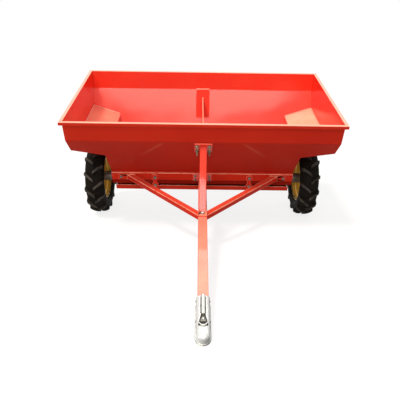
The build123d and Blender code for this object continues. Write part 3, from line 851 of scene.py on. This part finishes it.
def rim(side, hand, body):
    shape = bmesh.new()
    outside = [(-axial, radius) for axial, radius in reversed(RIM_HALF)] + list(RIM_HALF)
    inside = []
    for axial, radius in reversed(outside):
        inset = RIM_SHEET if abs(axial) < FLANGE_FROM else FLANGE_SHEET
        curl = math.copysign(CURL, axial) if abs(axial) > CURL_FROM else 0.0
        inside.append((axial - curl, radius - inset))
    revolve(shape, hand, outside + inside, RIM_STEPS)
    front = [(DISC_FACE - DISC_PRESS * (k % 4 in (2, 3)), radius) for k, radius in enumerate(DISC_RADII)]
    disc = front + [(axial - DISC_SHEET, radius) for axial, radius in reversed(front)]
    revolve(shape, hand, disc, RIM_STEPS)
    drawn("rim_%s_gold" % side, shape, body, "gold_paint", ("rim_" + side,), RIM_CRISP)
    stem = bmesh.new()
    foot = wheel_point(hand, *VALVE_FOOT, VALVE_TURN)
    head = wheel_point(hand, *VALVE_HEAD, VALVE_TURN)
    lathe(stem, aimed(foot, head - foot), VALVE_RINGS, sides=14)
    drawn("valve_" + side, stem, body, "tyre")


for side, hand, body in (("right", 1, "axle"), ("left", -1, "left_wheel")):
    tyre(side, hand, body)
    rim(side, hand, body)


# Coupling shell: a pressed neck, a domed head over the ball and a flat skirt
COUPLING_REAR = -1086.0
COUPLING_BOTTOM = 314.25
NECK_HALF = 27.2
HEAD_HALF = 26.8
BODY_ROUND = 15.0
SOCKET_RADIUS = 25.25
DOME_STEPS = 12
SKIRT_HALF = 31.0
SKIRT_REAR = -1106.0
SKIRT_TOP = COUPLING_BOTTOM + 4.0
SKIRT_ROUND = 2.0
STEP_WIDTH = 2.4
STEP_TOP = SKIRT_TOP + 1.2
CAVITY_HALF = 20.5
CAVITY_REAR = COUPLING_REAR + 9.0
CAVITY_FRONT = -1231.0
CAVITY_TOP = DRAWBAR_TOP - 2.0
LATCH_PLAN = ((-7, -1176), (7, -1176), (19, -1234), (-19, -1234))
LATCH_FLOOR = DRAWBAR_TOP - 5.0
LEVER_HALF = 7.5
GROOVE_WIDTH = 3.4
GROOVE_DEPTH = 2.2
GROOVE_REAR = COUPLING_REAR - 4.0
GROOVE_FRONT = -1174.0
SPARE = 5.0
SHELL_EDGE = 0.6
SHELL_TURN = math.radians(40)
TOP_BAND = 0.1
REAR_BAND = 1
DOME_TIP = 0.02
STEP_UPPER = 6.6
DOME_UPWARD = 0.93


def oblong(left, right, rear, front):
    """Plan of a rectangle, as (x, y)."""
    return [(left, rear), (right, rear), (right, front), (left, front)]


def round_end(half, rear, centre, count=28):
    """Plan of a strip with a round front end, as (x, y)."""
    outline = [(-half, rear), (half, rear)]
    for index in range(count + 1):
        angle = -math.pi * index / count
        outline.append((half * math.cos(angle), centre + half * math.sin(angle)))
    return outline


def body_plan(spread):
    """Plan of the coupling's body, widened by spread."""
    neck = NECK_HALF + spread
    head = round_end(HEAD_HALF + spread, COUPLING_REAR, BALL_Y)
    return [(-neck, COUPLING_REAR), (neck, COUPLING_REAR)] + head[2:]


def rounded_slab(outline, bottom, top, radius, segments):
    """Slab with the edges of its top rounded, but for its rear edge."""
    shape = slab(outline, bottom, top)
    rear = max(y for x, y in outline)
    edges = []
    for edge in shape.edges:
        on_top = all(corner.co.z > top - TOP_BAND for corner in edge.verts)
        if on_top and any(corner.co.y < rear - REAR_BAND for corner in edge.verts):
            edges.append(edge)
    bmesh.ops.bevel(shape, geom=edges, offset=radius, segments=segments, profile=0.5, affect="EDGES")
    return shape


def dome(radius, bottom):
    """Round wall with a half ball on it, over the ball's place."""
    shape = bmesh.new()
    rings = [(radius, bottom - BALL_Z), (radius, 0.0)]
    for step in range(1, DOME_STEPS):
        angle = math.pi / 2 * step / DOME_STEPS
        rings.append((radius * math.cos(angle), radius * math.sin(angle)))
    rings.append((radius * DOME_TIP, radius))
    lathe(shape, Matrix.Translation((0, BALL_Y, BALL_Z)), rings, sides=48)
    bmesh.ops.recalc_face_normals(shape, faces=shape.faces)
    return shape


def carved(base, steps, radius):
    """Form made by joining and cutting closed forms in turn, with its edges rounded."""
    target = temporary(base)
    for operation, tool in steps:
        other = temporary(tool)
        change = target.modifiers.new("change", "BOOLEAN")
        change.operation = operation
        change.solver = "EXACT"
        change.object = other
        target.data = evaluated(target)
        target.modifiers.clear()
        bpy.data.objects.remove(other)
    bevel = target.modifiers.new("bevel", "BEVEL")
    bevel.limit_method = "ANGLE"
    bevel.angle_limit = SHELL_TURN
    bevel.width = radius
    bevel.segments = 2
    mesh = evaluated(target)
    bpy.data.objects.remove(target)
    shape = bmesh.new()
    shape.from_mesh(mesh)
    return shape


def shell_painted_shade(face):
    """How dark a face of the shell is painted, as shade: its grooves and, more on the right than on the left, the
    step and the edge round its skirt, the front of its dome and the sides of its neck."""
    centre = face.calc_center_median()
    height = centre.z - COUPLING_BOTTOM
    out = abs(centre.x)
    ahead = BALL_Y - centre.y
    upward = face.normal.z
    on_right = centre.x > 0
    in_groove = 0.5 < COUPLING_TOP - centre.z < 2.6 and out < 13 and centre.y > GROOVE_FRONT - 2
    on_step = 4.2 < height < STEP_UPPER and out + 0.5 * max(0.0, ahead) > 26
    on_edge = 1.0 < height < 3.9 and 0.2 < upward < 0.97
    on_dome = ahead > 4 and 6.0 < height < 41.0 and upward < DOME_UPWARD
    on_neck = ahead < 6 and height > STEP_UPPER and 0.02 < upward < 0.66 and out > 18
    if in_groove:
        return 0.9
    if on_step or on_edge:
        return 1.0 if on_right else 0.6
    if on_dome:
        return (DOME_UPWARD - max(0.0, upward)) * (0.42 + 0.5 * centre.x / 27.0)
    if on_neck:
        return (0.8 if on_right else 0.3) * (1.0 if upward < 0.6 else 0.5)
    return 0.0


skirt_plan = round_end(SKIRT_HALF, SKIRT_REAR, BALL_Y)
cavity_plan = oblong(-CAVITY_HALF, CAVITY_HALF, CAVITY_REAR, CAVITY_FRONT)
steps = [
    ("UNION", rounded_slab(skirt_plan, COUPLING_BOTTOM, SKIRT_TOP, SKIRT_ROUND, segments=2)),
    ("UNION", slab(body_plan(STEP_WIDTH), COUPLING_BOTTOM, STEP_TOP)),
    ("DIFFERENCE", slab(cavity_plan, COUPLING_BOTTOM - SPARE, CAVITY_TOP)),
    ("DIFFERENCE", dome(SOCKET_RADIUS, COUPLING_BOTTOM - SPARE)),
    ("DIFFERENCE", slab(LATCH_PLAN, LATCH_FLOOR, COUPLING_TOP + SPARE)),
]
for hand in HANDS:
    left, right = sorted((hand * LEVER_HALF, hand * (LEVER_HALF + GROOVE_WIDTH)))
    groove_plan = oblong(left, right, GROOVE_REAR, GROOVE_FRONT)
    steps.append(("DIFFERENCE", slab(groove_plan, COUPLING_TOP - GROOVE_DEPTH, COUPLING_TOP + SPARE)))
coupling_body = rounded_slab(body_plan(0.0), COUPLING_BOTTOM, COUPLING_TOP, BODY_ROUND, segments=8)
coupling = carved(coupling_body, steps, SHELL_EDGE)
# Each face of the shell takes its painted shade
wear_and_painted_light = coupling.faces.layers.float.new("wear_and_painted_light")
for face in coupling.faces:
    face.normal_update()
    face[wear_and_painted_light] = shell_painted_shade(face)
drawn("coupling_body_shell", coupling, "frame", "zinc", ("coupling_body",))


# Latch: a wedge between two cheeks, with its pin, spring and curved front plate
WEDGE_SHARE = 0.62
WEDGE_BOTTOM = DRAWBAR_TOP - 1
WEDGE_TOP = COUPLING_TOP + 1.0
PIN_SIDES = 14
PIN_HALF = 15.4
PIN_Y = -1218
PIN_Z = 360.0
PIN_RINGS = ((2.4, 0), (3.1, 0.6), (3.1, 30.2), (2.4, 30.8))
SPRING_TURNS = 5
SPRING_START = -9.5
SPRING_PITCH = 4.2
SPRING_AXIS = (1, 0.16, 0)
SPRING_RINGS = ((3.4, 0), (4.3, 0.6), (4.3, 1.4), (3.4, 2.0))
CHEEK_PLAN = ((4.2, -1177.5), (7.6, -1177.5), (18.6, -1229.0), (13.8, -1229.0))
LATCH_SINK = 4
CHEEK_RISE = 5.5
BOW_RISE = 6.5
BOW_Y = -1214.5
BOW_OUTER = 18.4
BOW_INNER = 15.4
BOW_STEPS = range(-6, 7)
BOW_STEP = 11
RIVET_Y = -1199
RIVET_FOOT = COUPLING_TOP - 1
RIVET_RINGS = ((5.2, 0), (5.2, 3.4), (4.6, 4.8), (3.2, 6.0), (1.4, 6.5))

wedge = slab([(x * WEDGE_SHARE, y) for x, y in LATCH_PLAN], WEDGE_BOTTOM, WEDGE_TOP)
drawn("coupling_latch_wedge", wedge, "frame", "dark_steel", ("coupling_latch",), coat="grey_iron")

pin = bmesh.new()
lathe(pin, aimed((-PIN_HALF, PIN_Y, PIN_Z), (1, 0, 0)), PIN_RINGS, PIN_SIDES)
for turn in range(SPRING_TURNS):
    start = (SPRING_START + SPRING_PITCH * turn, PIN_Y, PIN_Z)
    lathe(pin, aimed(start, SPRING_AXIS), SPRING_RINGS, PIN_SIDES)
cheeks = []
for hand in HANDS:
    cheek_plan = [(hand * x, y) for x, y in CHEEK_PLAN]
    cheeks.append(slab(cheek_plan, COUPLING_TOP - LATCH_SINK, COUPLING_TOP + CHEEK_RISE))
drawn("coupling_latch_cheeks", joined([pin, *cheeks]), "frame", "dark_steel")

bow_plan = []
for radius, way in ((BOW_OUTER, 1), (BOW_INNER, -1)):
    for step in BOW_STEPS:
        angle = math.radians(BOW_STEP * step * way)
        bow_plan.append((radius * math.sin(angle), BOW_Y - radius * math.cos(angle)))
bow = slab(bow_plan, COUPLING_TOP - LATCH_SINK, COUPLING_TOP + BOW_RISE)
rivet = bmesh.new()
lathe(rivet, aimed((0, RIVET_Y, RIVET_FOOT), UP), RIVET_RINGS, sides=18)
drawn("coupling_latch_plate", joined([rivet, bow]), "frame", "zinc")


# Fasteners: places in millimetres, and plates' thicknesses under the heads
STUD_ACROSS = 31
STUD_DOWN = (24, 76)
FLANGE_PLATE = 8
FLANGE_BOLT_X = 41
FLANGE_BOLT_Z = 11.5
BRACE_BOLT_X = 464
BRACE_PLATE = 6
STRAP_X = 271
STRAP_PLATE = 5
STRAP_BOLTS = (328.0, 275.0)
FOOT_BOLT_Y = -547
FOOT_PLATE = 8
FOOT_WASHER_RINGS = ((11, 0), (11, 2.0), (10.2, 2.6))
FOOT_WASHER_Z = 5.6
BEARING_BOLT = 33
BEARING_FLANGE = 9
COUPLING_BOLTS = (-1096, -1196)
COUPLING_SIDE = 26
COUPLING_BOLT_Z = 333

studs = bmesh.new()
for hand in HANDS:
    for down in STUD_DOWN:
        across = Vector((hand * STUD_ACROSS, 0, 0))
        seat = SLOPE_TOP + across - SLOPE_UP * down + SLOPE_NORMAL * FLANGE_PLATE
        bolt(studs, seat, SLOPE_NORMAL, size=8, head=0.85, stud=20)
drawn("strut_studs", studs, "frame", "zinc", coat="aged_steel")

frame_bolts = bmesh.new()
for hand in HANDS:
    for height in (-FLANGE_BOLT_Z, FLANGE_BOLT_Z):
        seat = (hand * FLANGE_BOLT_X, -BEAM_FACE - FLANGE_PLATE, BEAM_MIDDLE + height)
        bolt(frame_bolts, seat, FORWARD, size=6.5, head=0.8, stud=8)
for hand in HANDS:
    seat = (hand * BRACE_BOLT_X, -BEAM_FACE - BRACE_PLATE, BEAM_MIDDLE)
    bolt(frame_bolts, seat, FORWARD, size=7.2, head=0.7, stud=5)
    for height in STRAP_BOLTS:
        seat = (hand * STRAP_X, -BEAM_FACE - STRAP_PLATE, height)
        bolt(frame_bolts, seat, FORWARD, size=8, head=0.7, stud=6)
drawn("frame_bolts", frame_bolts, "frame", "zinc", coat="bolt_steel")

foot_bolt = bmesh.new()
bolt(foot_bolt, (0, FOOT_BOLT_Y, DRAWBAR_TOP + FOOT_PLATE), UP, size=7.5, head=0.6, turn=0.1)
drawn("foot_bolt", foot_bolt, "frame", "zinc")
foot_washer = bmesh.new()
washer_seat = aimed((0, FOOT_BOLT_Y, DRAWBAR_TOP + FOOT_WASHER_Z), UP)
lathe(foot_washer, washer_seat, FOOT_WASHER_RINGS, sides=24)
drawn("foot_washer", foot_washer, "frame", "dark_steel")

bearing_bolts = bmesh.new()
for hand in HANDS:
    for y in (-BEARING_BOLT, BEARING_BOLT):
        for z in (-BEARING_BOLT, BEARING_BOLT):
            seat = (hand * (TROUGH_END + BEARING_FLANGE), y, AXLE_Z + z)
            bolt(bearing_bolts, seat, (hand, 0, 0), size=8, head=0.7)
drawn("bearing_bolts", bearing_bolts, "frame", "zinc", coat="dark_steel")

coupling_bolts = bmesh.new()
for hand in HANDS:
    for y in COUPLING_BOLTS:
        seat = (hand * COUPLING_SIDE, y, COUPLING_BOLT_Z)
        bolt(coupling_bolts, seat, (hand, 0, 0), size=5, head=0.55)
drawn("coupling_bolts", coupling_bolts, "frame", "zinc", coat="bolt_steel")


# Welds
WELD_CRISP = 60.0
FLANGE_WELD_Y = -180
FLANGE_WELD_Z = (309, 353)
FOOT_WELD_Y = -520
FOOT_WELD_Z = (316, 346)
SHOULDER_X = 516
SHOULDER_Y = 140
SHOULDER_Z = 373
FLOOR_IN = Vector((521, 261, 522))
FLOOR_OUT = Vector((681, 289, 563))
WALL_FOOT = Vector((682, 288, 564))
DOUBLER_HALF = 41
DOUBLER_Y = 346.4
DOUBLER_Z = 655.0

welds = bmesh.new()
for hand in HANDS:
    side = hand * DRAWBAR_HALF
    shoulder = hand * SHOULDER_X
    bead(welds, [(side, FLANGE_WELD_Y, z) for z in FLANGE_WELD_Z], radius=3.2, seed=11 + hand)
    bead(welds, [(side, FOOT_WELD_Y, z) for z in FOOT_WELD_Z], radius=3.0, seed=21 + hand)
    bead(welds, [(shoulder, way * SHOULDER_Y, SHOULDER_Z) for way in HANDS], radius=2.6, seed=31 + hand)
bead(welds, [(way * DRAWBAR_HALF, FLANGE_WELD_Y, DRAWBAR_TOP) for way in HANDS], radius=3.0, seed=61)
drawn("weld_runs", welds, "frame", "red_paint", crisp=WELD_CRISP)

# The floor welds and the doubler's top weld are painted pale, as highlights along them
floor_welds = bmesh.new()
for hand in HANDS:
    for way in HANDS:
        run = [(hand * place.x, way * place.y, place.z) for place in (FLOOR_IN, FLOOR_OUT)]
        bead(floor_welds, run, radius=2.8, seed=41 + 2 * hand + way)
    run = [(hand * WALL_FOOT.x, way * WALL_FOOT.y, WALL_FOOT.z) for way in HANDS]
    bead(floor_welds, run, radius=3.0, seed=51 + hand)
bead(floor_welds, [(way * DOUBLER_HALF, DOUBLER_Y, DOUBLER_Z) for way in HANDS], radius=3.4, seed=71)
drawn("floor_welds", floor_welds, "frame", "red_paint", crisp=WELD_CRISP, coat="pale_highlight_red_paint")


# Camera and light
CAMERA_AT = Vector((-29.5, -2254.4, 1664.4))
CAMERA_DOWN = 0.62275
CAMERA_YAW = 0.009
CAMERA_ROLL = 0.018
CAMERA_REACH = 200.0
FOCAL_PIXELS = 430.0
IMAGE_PIXELS = 400.0
SENSOR = 36.0


def look(at, ahead, roll=0.0):
    """Parked placement of a camera or lamp that stands at a point and looks along a direction."""
    ahead = Vector(ahead).normalized()
    right = ahead.cross(Vector(UP)).normalized()
    up = right.cross(ahead)
    across = math.cos(roll) * right + math.sin(roll) * up
    upward = -math.sin(roll) * right + math.cos(roll) * up
    turn = Matrix((across, upward, -ahead)).transposed()
    spin = (PARKED.to_3x3() * (1 / MM)) @ turn
    return Matrix.Translation(PARKED @ Vector(at)) @ spin.to_4x4()


camera_data = bpy.data.cameras.new("camera")
camera = bpy.data.objects.new("camera", camera_data)
bpy.context.scene.collection.objects.link(camera)
camera_data.sensor_width = SENSOR
camera_data.lens = SENSOR * FOCAL_PIXELS / IMAGE_PIXELS
camera_ahead = (
    math.sin(CAMERA_YAW) * math.cos(CAMERA_DOWN),
    math.cos(CAMERA_YAW) * math.cos(CAMERA_DOWN),
    -math.sin(CAMERA_DOWN),
)
camera.matrix_world = look(CAMERA_AT, camera_ahead, CAMERA_ROLL)
camera_data.clip_end = CAMERA_REACH
bpy.context.scene.camera = camera


def lamp(name, kind, at, towards, power, colour, **settings):
    """Lamp that stands at a point, in level millimetres, and looks at another."""
    data = bpy.data.lights.new(name, kind)
    data.energy = power
    data.color = colour
    for key, value in settings.items():
        setattr(data, key, value)
    lamp_object = bpy.data.objects.new(name, data)
    bpy.context.scene.collection.objects.link(lamp_object)
    lamp_object.matrix_world = look(at, Vector(towards) - Vector(at))


# Name, place, target, power in watts, colour, shape, and width and height in metres
SOFTBOXES = (
    ("rear_softbox", (0, 1900, 3300), (0, -500, 400), 30, (1.0, 0.97, 0.92), "RECTANGLE", 3.4, 1.3),
    ("slope_softbox", (-120, -2021, 3241), (0, 290, 555), 20.5, (1.0, 0.95, 0.84), "ELLIPSE", 2.9, 0.85),
    ("front_softbox", (-300, -3400, 2650), (0, 0, 500), 42, (1.0, 0.97, 0.93), "RECTANGLE", 2.6, 0.45),
    ("left_softbox", (-2600, -2600, 750), (200, 0, 300), 15, (1.0, 0.95, 0.88), "RECTANGLE", 1.0, 0.8),
)
lamp("key", "SUN", (-1320, -600, 3720), (0, 0, 0), 2.2, (1.0, 0.93, 0.83), angle=math.radians(10))
for name, at, towards, power, colour, outline, width, height in SOFTBOXES:
    lamp(name, "AREA", at, towards, power, colour, shape=outline, size=width, size_y=height)


# Stage
FLOOR_REACH = 60.0
FLOOR_TONE = (0.24, 0.24, 0.24, 1)
FLOOR_ROUGHNESS = 0.9
FLOOR_GLOW = 0.8
WHITE = (1, 1, 1, 1)
FILL = 0.34

floor_mesh = bpy.data.meshes.new("floor")
floor_shape = bmesh.new()
bmesh.ops.create_grid(floor_shape, x_segments=1, y_segments=1, size=FLOOR_REACH)
floor_shape.to_mesh(floor_mesh)
floor_shape.free()
floor = bpy.data.objects.new("floor", floor_mesh)
bpy.context.scene.collection.objects.link(floor)


def seen_directly(tree):
    """1 for camera, glossy and transmission rays, which show the white surroundings."""
    path = tree.nodes.new("ShaderNodeLightPath")
    share = path.outputs["Is Camera Ray"]
    for name in ("Is Glossy Ray", "Is Transmission Ray"):
        share = calculated(tree, "MAXIMUM", share, path.outputs[name])
    return share


floor_material = bpy.data.materials.new("floor")
floor_material.use_nodes = True
floor_tree = floor_material.node_tree
floor_surface = floor_tree.nodes["Principled BSDF"]
floor_surface.inputs["Base Color"].default_value = FLOOR_TONE
floor_surface.inputs["Roughness"].default_value = FLOOR_ROUGHNESS
floor_surface.inputs["Specular IOR Level"].default_value = 0.0
floor_glow = floor_tree.nodes.new("ShaderNodeEmission")
floor_sum = floor_tree.nodes.new("ShaderNodeAddShader")
glow_strength = product(floor_tree, seen_directly(floor_tree), FLOOR_GLOW)
floor_tree.links.new(glow_strength, floor_glow.inputs["Strength"])
floor_tree.links.new(floor_surface.outputs["BSDF"], floor_sum.inputs[0])
floor_tree.links.new(floor_glow.outputs["Emission"], floor_sum.inputs[1])
floor_tree.links.new(floor_sum.outputs["Shader"], floor_tree.nodes["Material Output"].inputs["Surface"])
floor_mesh.materials.append(floor_material)

world = bpy.data.worlds.new("world")
bpy.context.scene.world = world
world.use_nodes = True
world_tree = world.node_tree
world_light = world_tree.nodes["Background"]
strength = ramp(world_tree, seen_directly(world_tree), 0.0, 1.0, FILL, 1.0)
world_tree.links.new(strength, world_light.inputs["Strength"])
world_light.inputs["Color"].default_value = WHITE

bpy.context.scene.view_settings.view_transform = "Standard"

bpy.context.view_layer.update()
